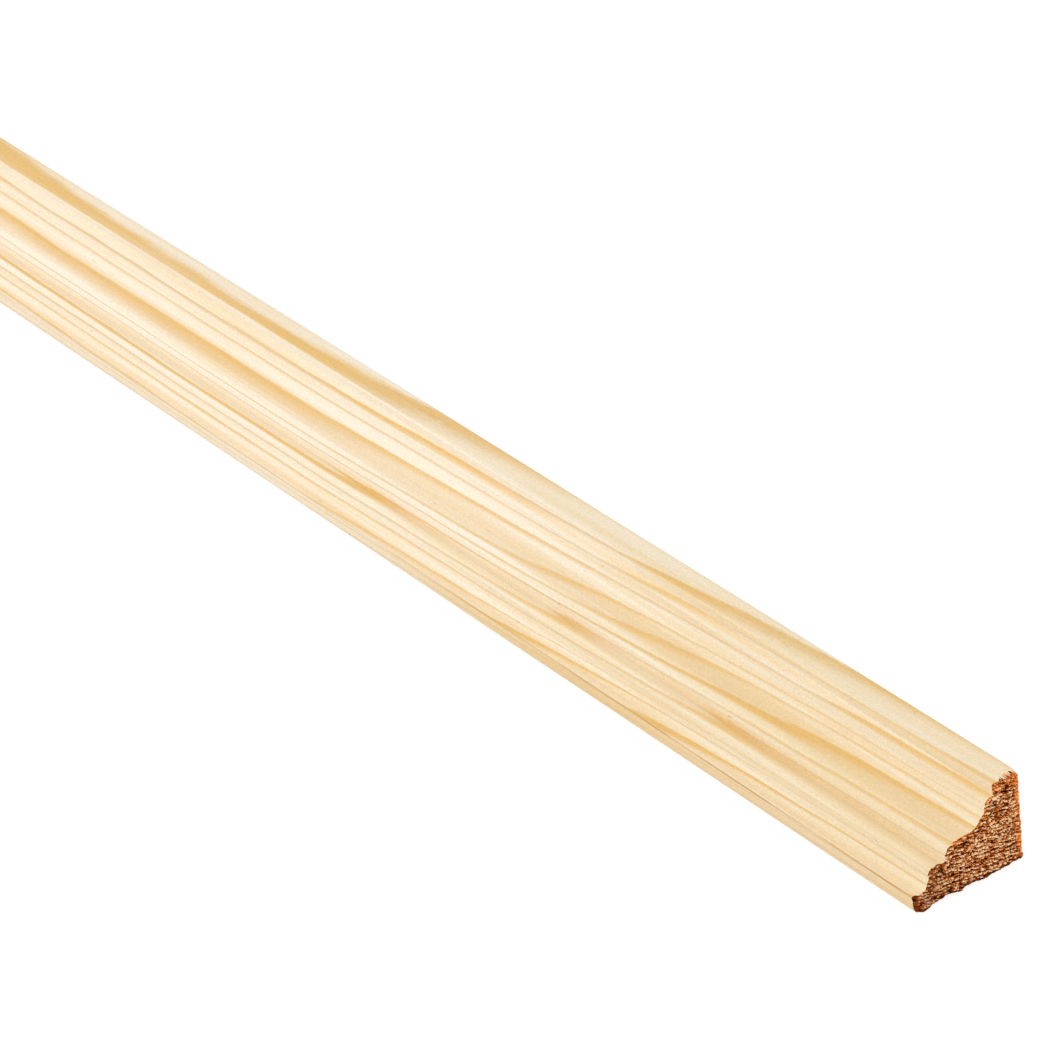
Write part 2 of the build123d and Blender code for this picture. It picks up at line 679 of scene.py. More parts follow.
@dataclass(frozen=True)
class SawnPine:
    """Pine end grain as a coarse saw leaves it: torn into rows, and red-brown.

    The wood goes from hole through brown and tan to pale as the torn fibres stand prouder. The
    holes and the gaps between the rows are dark partly from the wood's colour and partly from
    painted shade, and the foot is darkened by soil and painted shade.
    """

    # Deep in holes and gaps: partly the wood's colour, partly painted shade
    hole: Colour = srgb(52, 6, 0)
    brown: Colour = srgb(150, 66, 10)
    tan: Colour = srgb(207, 120, 52)
    pale: Colour = srgb(255, 224, 176)
    rim: Colour = srgb(238, 134, 48)
    # Soil at the worn nose and the front, and soil with painted shade along the foot
    soil_and_shade: Colour = srgb(126, 56, 18)
    brown_range: Point = (0.12, 0.42)
    tan_range: Point = (0.38, 0.68)
    pale_range: Point = (0.66, 0.9)
    rim_light: float = 0.36
    rim_contrast: float = 1.1
    soil_and_shade_light: float = 0.5
    soil_and_shade_contrast: float = 0.9
    dash: Lumps = Lumps((1.3, 0.4, 0.8), rough=0.6, curl=0.9)
    dash_light: float = 0.55
    grit: Lumps = Lumps((0.36, 0.26, 0.6), detail=1.0, curl=0.5, shift=(0.0, 0.0, 5.0))
    grit_light: float = 0.7
    relief_height: float = 0.06
    roughness: float = 0.85
    sheen_level: float = 0.0
    rings: GrowthRings = field(default_factory=GrowthRings)

    def material(self) -> bpy.types.Material:
        """Build the finish of the sawn ends.

        Returns:
            The material.
        """
        bench = NodeBench("sawn_pine")
        u, v, l = bench.timber()
        angle = math.atan(self.rings.fall)
        along = u * math.cos(angle) + v * math.sin(angle)
        across = v * math.cos(angle) - u * math.sin(angle)
        dash = self.dash.read(bench, along, across, l)
        grit = self.grit.read(bench, along, across, l)
        # The torn share, lowered by painted shade in the gaps, holes, brush splits and foot; low values
        # turn dark below
        light = bench.attribute(SawnEnd.TORN) + dash * self.dash_light + grit * self.grit_light
        wood = bench.blend(light.eased(*self.brown_range), self.hole, self.brown)
        wood = bench.blend(light.eased(*self.tan_range), wood, self.tan)
        wood = bench.blend(light.eased(*self.pale_range), wood, self.pale)
        rim = bench.shade(light * self.rim_contrast + self.rim_light, self.rim)
        wood = bench.blend(bench.attribute(SawnEnd.RIM), wood, rim)
        # Soil, and soil with painted shade along the foot
        soil_and_shade = bench.shade(light * self.soil_and_shade_contrast + self.soil_and_shade_light, self.soil_and_shade)
        wood = bench.blend(bench.attribute(SawnEnd.SOIL_AND_SHADE), wood, soil_and_shade)
        bench.feed(bench.shader.inputs["Base Color"], wood)
        bench.shader.inputs["Roughness"].default_value = self.roughness
        bench.shader.inputs["Specular IOR Level"].default_value = self.sheen_level
        bench.relief(grit * self.relief_height + dash * self.relief_height)
        return bench.material


# The moulding's shape

class OutlinePen:
    """Draws an outline as points a short step apart."""

    def __init__(self, start: Point, line_step: float, arc_step: float, arc_turn: float) -> None:
        """Put the pen down at its first point.

        Args:
            start: The first point.
            line_step: The longest step along a straight run.
            arc_step: The longest step round an arc.
            arc_turn: The most that a step round an arc may turn, in degrees.
        """
        self.points: list[Point] = [start]
        self.line_step = line_step
        self.arc_step = arc_step
        self.arc_turn = arc_turn

    def line(self, end: Point) -> None:
        """Draw a straight run to a point.

        Args:
            end: The point.
        """
        start = self.points[-1]
        steps = max(1, math.ceil(math.dist(start, end) / self.line_step))
        for step in range(1, steps + 1):
            share = step / steps
            self.points.append(
                (start[0] + (end[0] - start[0]) * share, start[1] + (end[1] - start[1]) * share)
            )

    def arc(self, centre: Point, radius: float, start: float, end: float) -> None:
        """Draw an arc that begins where the pen is.

        Args:
            centre: The arc's centre.
            radius: Its radius.
            start: The angle of its first point, in degrees.
            end: The angle of its last point.
        """
        turn = abs(end - start)
        steps = max(math.ceil(math.radians(turn) * radius / self.arc_step), math.ceil(turn / self.arc_turn))
        for step in range(1, steps + 1):
            angle = math.radians(start + (end - start) * step / steps)
            self.points.append(
                (centre[0] + radius * math.cos(angle), centre[1] + radius * math.sin(angle))
            )


@dataclass(frozen=True)
class MouldedSection:
    """The moulding's section: its members from the back's top down to the nose."""

    base_width: float
    back_height: float
    top_fillet_width: float = 7.0
    top_fillet_drop: float = 2.4
    top_step_width: float = 1.9
    top_step_fall: float = 0.8
    upper_hollow_radius: float = 5.0
    ogee_flat_width: float = 2.4
    quarter_round_radius: float = 3.6
    quirk_width: float = 0.9
    bead_radius: float = 2.0
    bead_rise: float = 0.4
    lower_hollow_radius: float = 3.0
    nose_height: float = 4.6
    nose_round_radius: float = 2.4
    face_arris_radius: float = 0.4
    back_arris_radius: float = 0.8
    line_step: float = 1.0
    arc_step: float = 0.35
    arc_turn: float = 15.0

    def outline(self) -> np.ndarray:
        """Draw the section from the foot of the back up, over the face and back along the base.

        Returns:
            The points of the closed outline, one row each of u and v.
        """
        arris = self.face_arris_radius
        eased = self.back_arris_radius
        nose = self.nose_round_radius
        top = self.back_height
        pen = OutlinePen((0.0, eased), self.line_step, self.arc_step, self.arc_turn)
        pen.line((0.0, top - eased))
        pen.arc((eased, top - eased), eased, 180, 90)
        u = self.top_fillet_width
        pen.line((u - arris, top))
        pen.arc((u - arris, top - arris), arris, 90, 0)
        foot = Vector((u, top - self.top_fillet_drop))
        pen.line((foot.x, foot.y))
        u += self.top_step_width + self.upper_hollow_radius
        v = foot.y - self.top_step_fall
        centre, edge_angle, hollow_angle = self.step_round(foot, Vector((u, v)))
        edge = centre + Vector((math.cos(edge_angle), math.sin(edge_angle))) * arris
        pen.line((edge.x, edge.y))
        pen.arc((centre.x, centre.y), arris, math.degrees(edge_angle), math.degrees(hollow_angle))
        pen.arc((u, v), self.upper_hollow_radius, 180 + math.degrees(hollow_angle), 270)
        v -= self.upper_hollow_radius
        u += self.ogee_flat_width
        pen.line((u, v))
        v -= self.quarter_round_radius
        pen.arc((u, v), self.quarter_round_radius, 90, 0)
        u += self.quarter_round_radius
        u += self.quirk_width
        pen.line((u, v))
        spring = math.asin((self.bead_radius - self.bead_rise) / self.bead_radius)
        u += self.bead_radius * math.cos(spring)
        v -= self.bead_radius - self.bead_rise
        pen.arc((u, v), self.bead_radius, 180 - math.degrees(spring), 0)
        u += self.bead_radius + self.lower_hollow_radius
        pen.arc((u, v), self.lower_hollow_radius, 180, 270)
        u = self.base_width
        v = self.nose_height
        pen.line((u - arris, v))
        pen.arc((u - arris, v - arris), arris, 90, 0)
        pen.line((u, nose))
        pen.arc((u - nose, nose), nose, 0, -90)
        pen.line((eased, 0.0))
        pen.arc((eased, eased), eased, 270, 180)
        return np.array(pen.points[:-1])

    def step_round(self, foot: Vector, hollow: Vector) -> tuple[Vector, float, float]:
        """Find the small round that leads from the sloping step into the upper hollow.

        Args:
            foot: Where the step starts, at the foot of the top fillet.
            hollow: The upper hollow's centre.

        Returns:
            The round's centre, and the angles where it meets the step and the hollow.
        """
        arris = self.face_arris_radius
        slope = Vector((self.top_step_width, -self.top_step_fall)).normalized()
        inward = Vector((slope.y, -slope.x))
        gap = hollow - foot - inward * arris
        along = gap.dot(slope)
        reach = self.upper_hollow_radius + arris
        run = along - math.sqrt(along**2 - gap.length_squared + reach**2)
        centre = foot + inward * arris + slope * run
        towards = hollow - centre
        return centre, math.atan2(-inward.y, -inward.x), math.atan2(towards.y, towards.x)


class End(Enum):
    """The two ends of the moulding: the seed of each one's saw marks, and its damage."""

    NEAR = (11, 1.0)
    FAR = (47, 0.3)

    @property
    def seed(self) -> int:
        """The number that its saw marks are drawn from."""
        return self.value[0]

    @property
    def damage(self) -> float:
        """How strong its chips and broken corners are, 0 to 1."""
        return self.value[1]

    @property
    def turned(self) -> bool:
        """Whether it faces the other way, so that its faces are turned over."""
        return self is End.FAR


class Finish(Enum):
    """The finishes that the moulding's faces can have, as slots on its mesh."""

    PLANED = 0
    SAWN = 1


@dataclass
class MeshStock:
    """Points and faces that are being put together into one mesh."""

    points: list[Spot] = field(default_factory=list)
    faces: list[tuple[int, ...]] = field(default_factory=list)
    finishes: list[int] = field(default_factory=list)
    map_places: list[Point] = field(default_factory=list)
    marks: dict[str, dict[int, float]] = field(default_factory=dict)

    def add_points(self, rows: Sequence[Sequence[float]]) -> list[int]:
        """Add points.

        Args:
            rows: The points, in metres.

        Returns:
            Their numbers in the mesh.
        """
        first = len(self.points)
        self.points.extend((float(x), float(y), float(z)) for x, y, z in rows)
        return list(range(first, len(self.points)))

    def add_face(self, corners: Sequence[int], places: Sequence[Point], finish: Finish, flip: bool) -> None:
        """Add a face.

        Args:
            corners: The numbers of its points.
            places: The place of each corner on the piece's map.
            finish: The finish that it has.
            flip: Whether its corners are given the wrong way round.
        """
        step = -1 if flip else 1
        self.faces.append(tuple(corners[::step]))
        self.map_places.extend(places[::step])
        self.finishes.append(finish.value)

    def mark(self, name: str, number: int, value: float) -> None:
        """Keep a number that belongs to one point."""
        self.marks.setdefault(name, {})[number] = value

    def mesh(self, name: str, sharp_angle: float) -> bpy.types.Mesh:
        """Turn what was added into a mesh.

        Args:
            name: The mesh's name.
            sharp_angle: The turn in degrees past which an edge stays crisp.

        Returns:
            The mesh, with its map, its finishes and its marks.
        """
        mesh = bpy.data.meshes.new(name)
        mesh.from_pydata(self.points, [], self.faces)
        mesh.polygons.foreach_set("material_index", self.finishes)
        mesh.polygons.foreach_set("use_smooth", [True] * len(self.faces))
        layer = mesh.uv_layers.new(name="OFBake")
        layer.uv.foreach_set("vector", np.array(self.map_places, np.float32).ravel())
        for mark, values in self.marks.items():
            held = mesh.attributes.new(mark, "FLOAT", "POINT")
            row = np.zeros(len(self.points), np.float32)
            row[list(values)] = list(values.values())
            held.data.foreach_set("value", row)
        mesh.set_sharp_from_angle(angle=math.radians(sharp_angle))
        mesh.update()
        return mesh


@dataclass(frozen=True)
class FibreLumps:
    """Lumps in torn fibres: their length along the rings, their width, their pattern and strength."""

    long: float
    wide: float
    layer: float
    strength: float = 1.0


@dataclass(frozen=True)
class EndStain:
    """What colours a sawn end: an orange rim, the pale tips of loose fibres, soil, and soil with
    painted shade along the foot.

    A single number is a strength, 0 to 1. A pair says where a stain starts and where it is
    full, in millimetres from the back, up from the base or in from the edge, or in a pattern.
    """

    back_rim: float = 0.9
    back_fade: Point = (1.9, 0.6)
    back_lumps: FibreLumps = FibreLumps(0.9, 0.6, 31.0, 0.8)
    crown_rim: float = 0.35
    crown_rise: Point = (17.5, 20.0)
    crown_lumps: FibreLumps = FibreLumps(1.5, 0.7, 33.0)
    edge_rim: float = 0.8
    edge_fade: Point = (1.5, 0.1)
    edge_rise: Point = (3.5, 5.0)
    edge_lumps: FibreLumps = FibreLumps(0.8, 0.8, 35.0, 0.6)
    edge_breaks: FibreLumps = FibreLumps(1.3, 1.0, 45.0)
    edge_break_range: Point = (-0.4, 0.2)
    fringe_back: Point = (0.9, 0.3)
    fringe_top: Point = (20.0, 20.6)
    fringe_width: Point = (5.0, 3.0)
    tip_lumps: FibreLumps = FibreLumps(0.7, 0.6, 41.0)
    tip_range: Point = (-0.08, 0.15)
    tip_bare: float = 0.8
    brush_shade: float = 0.85
    # Soil and painted shade along the foot
    foot_soil_and_shade: float = 0.75
    foot_shade: float = 0.5
    foot_fade: Point = (0.9, 0.2)
    foot_lumps: FibreLumps = FibreLumps(0.9, 0.4, 37.0, 0.3)
    front_soil: float = 0.4
    front_rise: Point = (18.5, 22.0)
    worn_soil: float = 0.9
    worn_torn: float = 0.4
    worn_share: float = 0.8
    worn_lumps: FibreLumps = FibreLumps(1.0, 1.0, 43.0, 0.3)


@dataclass
class SawnEnd:
    """One end of the moulding, cut by a coarse saw that tore the grain.

    Everything is measured from the end's highest fibres, so the sawn face lies a little
    inside the moulding's full length. A pair named range, rise, fade or width says where
    something starts and where it is full.
    """

    # Marks kept at the end's points. TORN is lowered by painted shade in the gaps, holes, brush and foot;
    # SOIL_AND_SHADE holds soil, and soil with painted shade along the foot.
    TORN = "torn"
    RIM = "rim"
    SOIL_AND_SHADE = "soil_and_shade"

    # Steps and a layer that keep the patterns apart
    SEED_STEP = 3.7
    ROW_STEP = 5.7
    ROW_SEED_STEP = 1.9
    BRUSH_SEED_STEP = 0.7
    CRUMBLE_LAYER = 2.0

    end: End
    rings: GrowthRings
    stain: EndStain = EndStain()

    # How fine the mesh is
    fine_step: float = 0.13
    grid_step: float = 0.125
    grid_jitter: float = 0.22
    edge_room: float = 0.08
    rows: tuple[float, ...] = (0.0, 0.25, 0.6, 1.1, 1.8, 2.8, 4.2, 6.0, 8.5)

    # How deep the face and its rim lie
    least_depth: float = 0.06
    face_depth: float = 0.4
    swell: FibreLumps = FibreLumps(9.0, 5.0, 21.0, 0.12)
    rim_depth: float = 0.3
    rim_lumps: FibreLumps = FibreLumps(0.9, 0.9, 25.0, 0.3)

    # Rows of torn fibres and the gaps between them
    row_spacing: float = 0.85
    row_depth: float = 0.6
    row_bend: FibreLumps = FibreLumps(7.0, 3.0, 1.3, 0.45)
    row_wobble: FibreLumps = FibreLumps(1.4, 0.9, 2.9, 0.1)
    dash_length: float = 4.0
    dash_range: Point = (-0.4, -0.12)
    gap_share: float = 0.3
    gap_more: float = 0.24
    gap_lip: float = 0.12
    gap_far_lip: float = 0.14
    gap_shade: float = 0.65
    fibre_level: float = 0.65
    tufts: FibreLumps = FibreLumps(1.2, 0.44, 5.1, 0.5)
    fine_tufts: FibreLumps = FibreLumps(0.4, 0.27, 9.6, 0.55)
    patches: FibreLumps = FibreLumps(5.0, 2.6, 11.3, 0.16)

    # Small holes, and pits at places of their own with their sizes
    hole_depth: float = 0.7
    hole_shade: float = 0.7
    hole_range: Point = (0.42, 0.66)
    hole_lumps: FibreLumps = FibreLumps(1.0, 0.45, 13.7)
    hole_patches: FibreLumps = FibreLumps(3.0, 1.5, 17.1, 0.3)
    pit_flatness: float = 1.5
    pit_floor: float = 0.4
    pits: tuple[Spot, ...] = (
        (14.3, 10.5, 0.7), (7.4, 7.5, 0.8), (9.4, 4.5, 0.6), (23.3, 2.0, 0.9), (18.4, 1.6, 0.9),
        (5.8, 15.5, 0.7), (2.8, 17.3, 0.7), (15.8, 5.5, 0.5), (2.8, 4.0, 0.6), (20.8, 7.7, 0.7),
        (1.8, 10.2, 0.6),
    )

    # The ragged edge
    wear_length: float = 2.2
    ragged: float = 0.16
    ragged_rise: Point = (0.3, 1.5)
    ragged_back: float = 0.2
    ragged_back_fade: Point = (1.5, 0.2)
    ragged_lump: float = 0.6
    ragged_length: float = 1.4

    # The brush of loose fibres at the top of the back
    brush_width: Point = (5.2, 3.7)
    brush_rise: Point = (19.7, 20.7)
    brush_depth: float = 1.5
    brush_proud: float = 0.3
    brush_spacing: float = 0.25
    brush_height: float = 2.0
    brush_range: Point = (-0.12, 0.12)

    # The blunt top corner, the burr, the worn nose and its broken arris
    blunt: float = 0.3
    corner_wear: float = 0.25
    corner_size: float = 1.5
    corner_length: float = 1.8
    corner_way: Point = (0.6, -0.8)
    burr: Point = (23.8, 8.7)
    burr_size: float = 1.3
    burr_height: float = 0.4
    nose_slant: float = 0.35
    nose_range: Point = (24.2, 27.0)
    nose_depth: float = 0.3
    notch_place: Point = (27.6, 4.5)
    notch_size: float = 1.2
    notch_floor: float = 0.48
    notch_depth: float = 0.5

    # The chip torn out of the base, with one tooth of it left standing
    chip_line: tuple[Point, ...] = (
        (10.5, 0.0), (12.5, 0.3), (14.6, 0.5), (15.6, 0.45), (16.0, 0.0), (16.6, 0.0), (17.0, 0.35),
        (18.0, 0.55), (19.4, 0.9), (20.8, 0.9), (22.2, 0.62), (23.6, 0.55), (25.0, 0.2), (25.8, 0.0),
    )
    chip_top: float = 0.9
    chip_span: Point = (1.0, 27.0)
    chip_tooth: float = 16.3
    chip_tooth_width: Point = (0.3, 0.9)
    chip_length: float = 6.0
    crumble: float = 0.14
    crumble_length: float = 2.4

    def lie(self, u: float, v: float) -> Point:
        """Turn a place on the end so that the first number runs along the rings.

        Args:
            u: How far the place is from the back.
            v: How high it is.

        Returns:
            How far it is along the rings and across them.
        """
        angle = math.atan(self.rings.fall)
        return (u * math.cos(angle) + v * math.sin(angle), v * math.cos(angle) - u * math.sin(angle))

    def cloud(self, u: float, v: float, lumps: FibreLumps) -> float:
        """Read a lumpy pattern whose lumps are drawn out along the rings.

        Args:
            u: How far the place is from the back.
            v: How high it is.
            lumps: The lumps' size, pattern and strength.

        Returns:
            A number from about minus to plus the strength.
        """
        along, across = self.lie(u, v)
        layer = lumps.layer + self.end.seed * self.SEED_STEP
        return lumps.strength * noise.noise(Vector((along / lumps.long, across / lumps.wide, layer)))

    def gap(self, u: float, v: float) -> float:
        """Give how far into the dark gap between two rows of fibres a place is, 0 to 1.

        Args:
            u: How far the place is from the back.
            v: How high it is.

        Returns:
            The share, 0 on the rows and 1 in the gaps.
        """
        along, across = self.lie(u, v)
        bend = self.cloud(u, v, self.row_bend) + self.cloud(u, v, self.row_wobble)
        row = (across + bend) / self.row_spacing
        number = math.floor(row)
        share = row - number
        layer = self.end.seed * self.ROW_SEED_STEP
        dash = noise.noise(Vector((along / self.dash_length, number * self.ROW_STEP, layer)))
        open_to = self.gap_share + self.gap_more * max(0.0, dash)
        opened = ease(share, 0.0, self.gap_lip) * ease(share, open_to, open_to - self.gap_far_lip)
        return opened * ease(dash, *self.dash_range)

    def torn(self, u: float, v: float) -> float:
        """Give how pale and proud the torn fibres are, less the painted shade in gaps and holes.

        Args:
            u: How far the place is from the back.
            v: How high it is.

        Returns:
            The share, 0 in a hole and 1 on a tuft.
        """
        tufts = self.cloud(u, v, self.tufts) + self.cloud(u, v, self.fine_tufts)
        lit = self.fibre_level + tufts + self.cloud(u, v, self.patches)
        # Painted shade in the gaps between the rows and in the holes
        lit -= self.gap_shade * self.gap(u, v)
        lit -= self.hole_shade * self.hole(u, v)
        return min(1.0, max(0.0, lit))

    def hole(self, u: float, v: float) -> float:
        """Give how far into a torn-out hole a place is, 0 to 1.

        Args:
            u: How far the place is from the back.
            v: How high it is.

        Returns:
            The share, 0 on the face and 1 in the middle of a hole.
        """
        small = self.cloud(u, v, self.hole_lumps) + self.cloud(u, v, self.hole_patches)
        deep = ease(small, *self.hole_range)
        for pit_u, pit_v, size in self.pits:
            if abs(u - pit_u) < size and abs(v - pit_v) < size:
                along, across = self.lie(u - pit_u, v - pit_v)
                away = math.hypot(along, self.pit_flatness * across)
                deep = max(deep, ease(away, size, self.pit_floor * size) * self.end.damage)
        return deep

    def brush_reach(self, u: float, v: float) -> float:
        """Give how far into the brush of loose fibres a place is, 0 to 1."""
        return ease(v, *self.brush_rise) * ease(u, *self.brush_width)

    def brush(self, u: float, v: float) -> float:
        """Give how deep the brush is split between its fibres, 0 to 1."""
        spot = (u / self.brush_spacing, v / self.brush_height, self.end.seed * self.BRUSH_SEED_STEP)
        return ease(noise.noise(Vector(spot)), *self.brush_range) * self.brush_reach(u, v)

    def damaged(self, place: Point, middle: Point, size: float, floor: float) -> float:
        """Give how strong a spot of damage is at a place.

        Args:
            place: The place on the end.
            middle: The middle of the damage.
            size: How far the damage reaches.
            floor: How far from its middle it is still full.

        Returns:
            The strength, 0 to 1.
        """
        return ease(math.dist(place, middle), size, floor) * self.end.damage

    def nose_wear(self, u: float, v: float) -> float:
        """Give how worn the corner at the nose is, 0 to 1."""
        return ease(u - self.nose_slant * v, *self.nose_range)

    def notch(self, u: float, v: float) -> float:
        """Give how far into the broken arris at the nose a place is, 0 to 1."""
        return self.damaged((u, v), self.notch_place, self.notch_size, self.notch_floor)

    def depth(self, u: float, v: float) -> float:
        """Give how far in from the full length the sawn face is, in millimetres."""
        rough = self.row_depth * (1.0 - self.torn(u, v)) + self.hole_depth * self.hole(u, v)
        return max(self.least_depth, self.base_depth(u, v) + rough)

    def edge_depth(self, u: float, v: float) -> float:
        """Give how far in from the full length the rim of the sawn face is, in millimetres."""
        rough = self.rim_depth + self.cloud(u, v, self.rim_lumps)
        return max(self.least_depth, self.base_depth(u, v) + rough)

    def base_depth(self, u: float, v: float) -> float:
        """Give the depth of the sawn face without its rows of fibres.

        Args:
            u: How far the place is from the back.
            v: How high it is.

        Returns:
            The depth in millimetres.
        """
        worn = self.nose_depth * self.nose_wear(u, v) + self.notch_depth * self.notch(u, v)
        proud = self.brush_proud * self.brush_reach(u, v)
        split = self.brush_depth * self.brush(u, v)
        return self.face_depth + self.cloud(u, v, self.swell) + worn - proud + split

    def colours(self, u: float, v: float, room: float) -> dict[str, float]:
        """Give the marks that colour a place on the sawn face, painted shade among them.

        Args:
            u: How far the place is from the back.
            v: How high it is.
            room: How far it is from the edge of the face.

        Returns:
            Each mark's name and its level, 0 to 1.
        """
        stain = self.stain
        back = stain.back_rim * ease(u + self.cloud(u, v, stain.back_lumps), *stain.back_fade)
        crown = stain.crown_rim * ease(v + self.cloud(u, v, stain.crown_lumps), *stain.crown_rise)
        edge = stain.edge_rim * ease(room + self.cloud(u, v, stain.edge_lumps), *stain.edge_fade)
        edge *= ease(v, *stain.edge_rise)
        edge *= ease(self.cloud(u, v, stain.edge_breaks), *stain.edge_break_range)
        fringe = max(ease(u, *stain.fringe_back), ease(v, *stain.fringe_top) * ease(u, *stain.fringe_width))
        tips = ease(self.cloud(u, v, stain.tip_lumps), *stain.tip_range) * fringe
        # A band along the foot: soil and painted shade
        foot = ease(v - self.chip(u, 0.0) + self.cloud(u, v, stain.foot_lumps), *stain.foot_fade)
        front = stain.front_soil * ease(u, *stain.front_rise)
        worn = self.nose_wear(u, v)
        broken = self.notch(u, v)
        lit = self.torn(u, v) * (1 - stain.brush_shade * self.brush(u, v)) * (1 - stain.foot_shade * foot)
        torn = max(lit, tips)
        torn += (stain.worn_torn + self.cloud(u, v, stain.worn_lumps) - torn) * stain.worn_share * worn
        return {
            self.TORN: torn * (1 - broken),
            self.RIM: max(back, crown, edge) * (1 - stain.tip_bare * tips),
            self.SOIL_AND_SHADE: max(stain.foot_soil_and_shade * foot, stain.worn_soil * worn, front) * (1 - broken),
        }

    def chip(self, u: float, l: float) -> float:
        """Give how high the base is torn up near the end.

        Args:
            u: How far the place is from the back.
            l: How far it is from the end.

        Returns:
            The height in millimetres.
        """
        drawn = np.array(self.chip_line)
        torn_up = float(np.interp(u, drawn[:, 0], drawn[:, 1])) * self.end.damage
        lumps = noise.noise(Vector((u / self.crumble_length, self.end.seed, self.CRUMBLE_LAYER)))
        crumble = max(0.0, self.crumble + self.crumble * lumps)
        kept = ease(abs(u - self.chip_tooth), *self.chip_tooth_width)
        return (torn_up + crumble * kept) * ease(l, self.chip_length, 0.0)

    def fine_outline(self, outline: np.ndarray) -> tuple[np.ndarray, list[int]]:
        """Divide the section's outline into steps short enough to be ragged.

        Args:
            outline: The section's outline.

        Returns:
            The finer outline, and for each point of the old one its number in the new one,
            with the number past the last at the end.
        """
        points = []
        starts = []
        for start, stop in zip(outline, np.roll(outline, -1, axis=0)):
            starts.append(len(points))
            steps = max(2, math.ceil(math.dist(start, stop) / self.fine_step))
            points.extend(start + (stop - start) * step / steps for step in range(steps))
        return np.array(points), [*starts, len(points)]

    def worn_row(self, outline: np.ndarray, l: float) -> np.ndarray:
        """Wear the outline as it is at one distance from the end.

        Args:
            outline: The fine outline.
            l: The distance from the end.

        Returns:
            The worn outline.
        """
        along = np.roll(outline, -1, axis=0) - np.roll(outline, 1, axis=0)
        along /= np.linalg.norm(along, axis=1)[:, None]
        inward = np.stack([along[:, 1], -along[:, 0]], axis=1)
        fade = ease(l, self.wear_length, 0.0)
        corner_fade = ease(l, self.corner_length, 0.0)
        corner_place = (0.0, outline[:, 1].max())
        chip_from, chip_to = self.chip_span
        row = outline.copy()
        for number, (u, v) in enumerate(outline):
            lump = (u / self.ragged_lump, v / self.ragged_lump, l / self.ragged_length + self.end.seed)
            rough = 0.5 + 0.5 * noise.noise(Vector(lump))
            ragged = self.ragged * ease(v, *self.ragged_rise)
            ragged += self.ragged_back * ease(u, *self.ragged_back_fade)
            burr = self.burr_height * self.damaged((u, v), self.burr, self.burr_size, self.blunt)
            corner = self.corner_wear * self.damaged((u, v), corner_place, self.corner_size, self.blunt)
            row[number] += inward[number] * (ragged * rough - burr) * fade
            row[number] += np.array(self.corner_way) * corner * corner_fade
            if v < self.chip_top and chip_from < u < chip_to:
                row[number, 1] += self.chip(u, l)
        return row

    def inner_points(self, outline: np.ndarray) -> np.ndarray:
        """Spread points over the end, inside its worn outline.

        Args:
            outline: The worn outline at the end.

        Returns:
            The points, in a jittered honeycomb.
        """
        draw = np.random.default_rng(self.end.seed)
        step = self.grid_step
        jitter = self.grid_jitter * step
        low = outline.min(axis=0)
        high = outline.max(axis=0)
        rows = np.arange(low[1], high[1], step * math.sqrt(0.75))
        spots = []
        for number, v in enumerate(rows):
            u = np.arange(low[0] + (number % 2) * step / 2, high[0], step)
            spots.append(np.stack([u, np.full_like(u, v)], axis=1))
        spread = np.concatenate(spots)
        spread += draw.uniform(-jitter, jitter, spread.shape)
        inside = np.zeros(len(spread), bool)
        near = np.full(len(spread), np.inf)
        for start, stop in zip(outline, np.roll(outline, -1, axis=0)):
            if start[1] != stop[1]:
                level = (start[1] > spread[:, 1]) != (stop[1] > spread[:, 1])
                share = (spread[:, 1] - start[1]) / (stop[1] - start[1])
                inside ^= level & (spread[:, 0] < start[0] + (stop[0] - start[0]) * share)
            near = np.minimum(near, np.hypot(*(spread - start).T))
        return spread[inside & (near > self.edge_room)]


@dataclass(frozen=True)
class FlatMap:
    """Where the moulding's faces lie on its flat map, a square one unit wide.

    The run is cut across into strips that lie one above the other. The two sawn ends lie side
    by side below them.
    """

    length: float
    back_height: float
    strips: int = 3
    margin: float = 0.004
    strip_gap: float = 0.012
    run_foot: float = 0.12
    run_height: float = 0.88
    end_foot: float = 0.005
    end_height: float = 0.11
    near_left: float = 0.01
    far_left: float = 0.26

    def run(self, strip: int, l: float, around: float) -> Point:
        """Place a point of the planed run.

        Args:
            strip: The strip's number.
            l: How far the point is from the near end.
            around: How far round the outline it is, 0 to 1.

        Returns:
            The place on the map.
        """
        wide = self.length / self.strips
        tall = self.run_height / self.strips
        across = self.margin + (1 - 2 * self.margin) * (l - strip * wide) / wide
        up = strip + self.strip_gap + (1 - 2 * self.strip_gap) * around
        return (min(1 - self.margin, max(self.margin, across)), self.run_foot + tall * up)

    def collar(self, end: End, depth: float, around: float) -> Point:
        """Place a point of the planed run that is close to an end.

        Args:
            end: The end.
            depth: How far the point is from that end.
            around: How far round the outline it is, 0 to 1.

        Returns:
            The place on the map.
        """
        if end is End.NEAR:
            return self.run(0, depth, around)
        return self.run(self.strips - 1, self.length - depth, around)

    def sawn(self, end: End, u: float, v: float) -> Point:
        """Place a point of a sawn end.

        Args:
            end: The end.
            u: How far the point is from the back.
            v: How high it is.

        Returns:
            The place on the map.
        """
        scale = self.end_height / self.back_height
        left = self.near_left if end is End.NEAR else self.far_left
        return (left + u * scale, self.end_foot + v * scale)


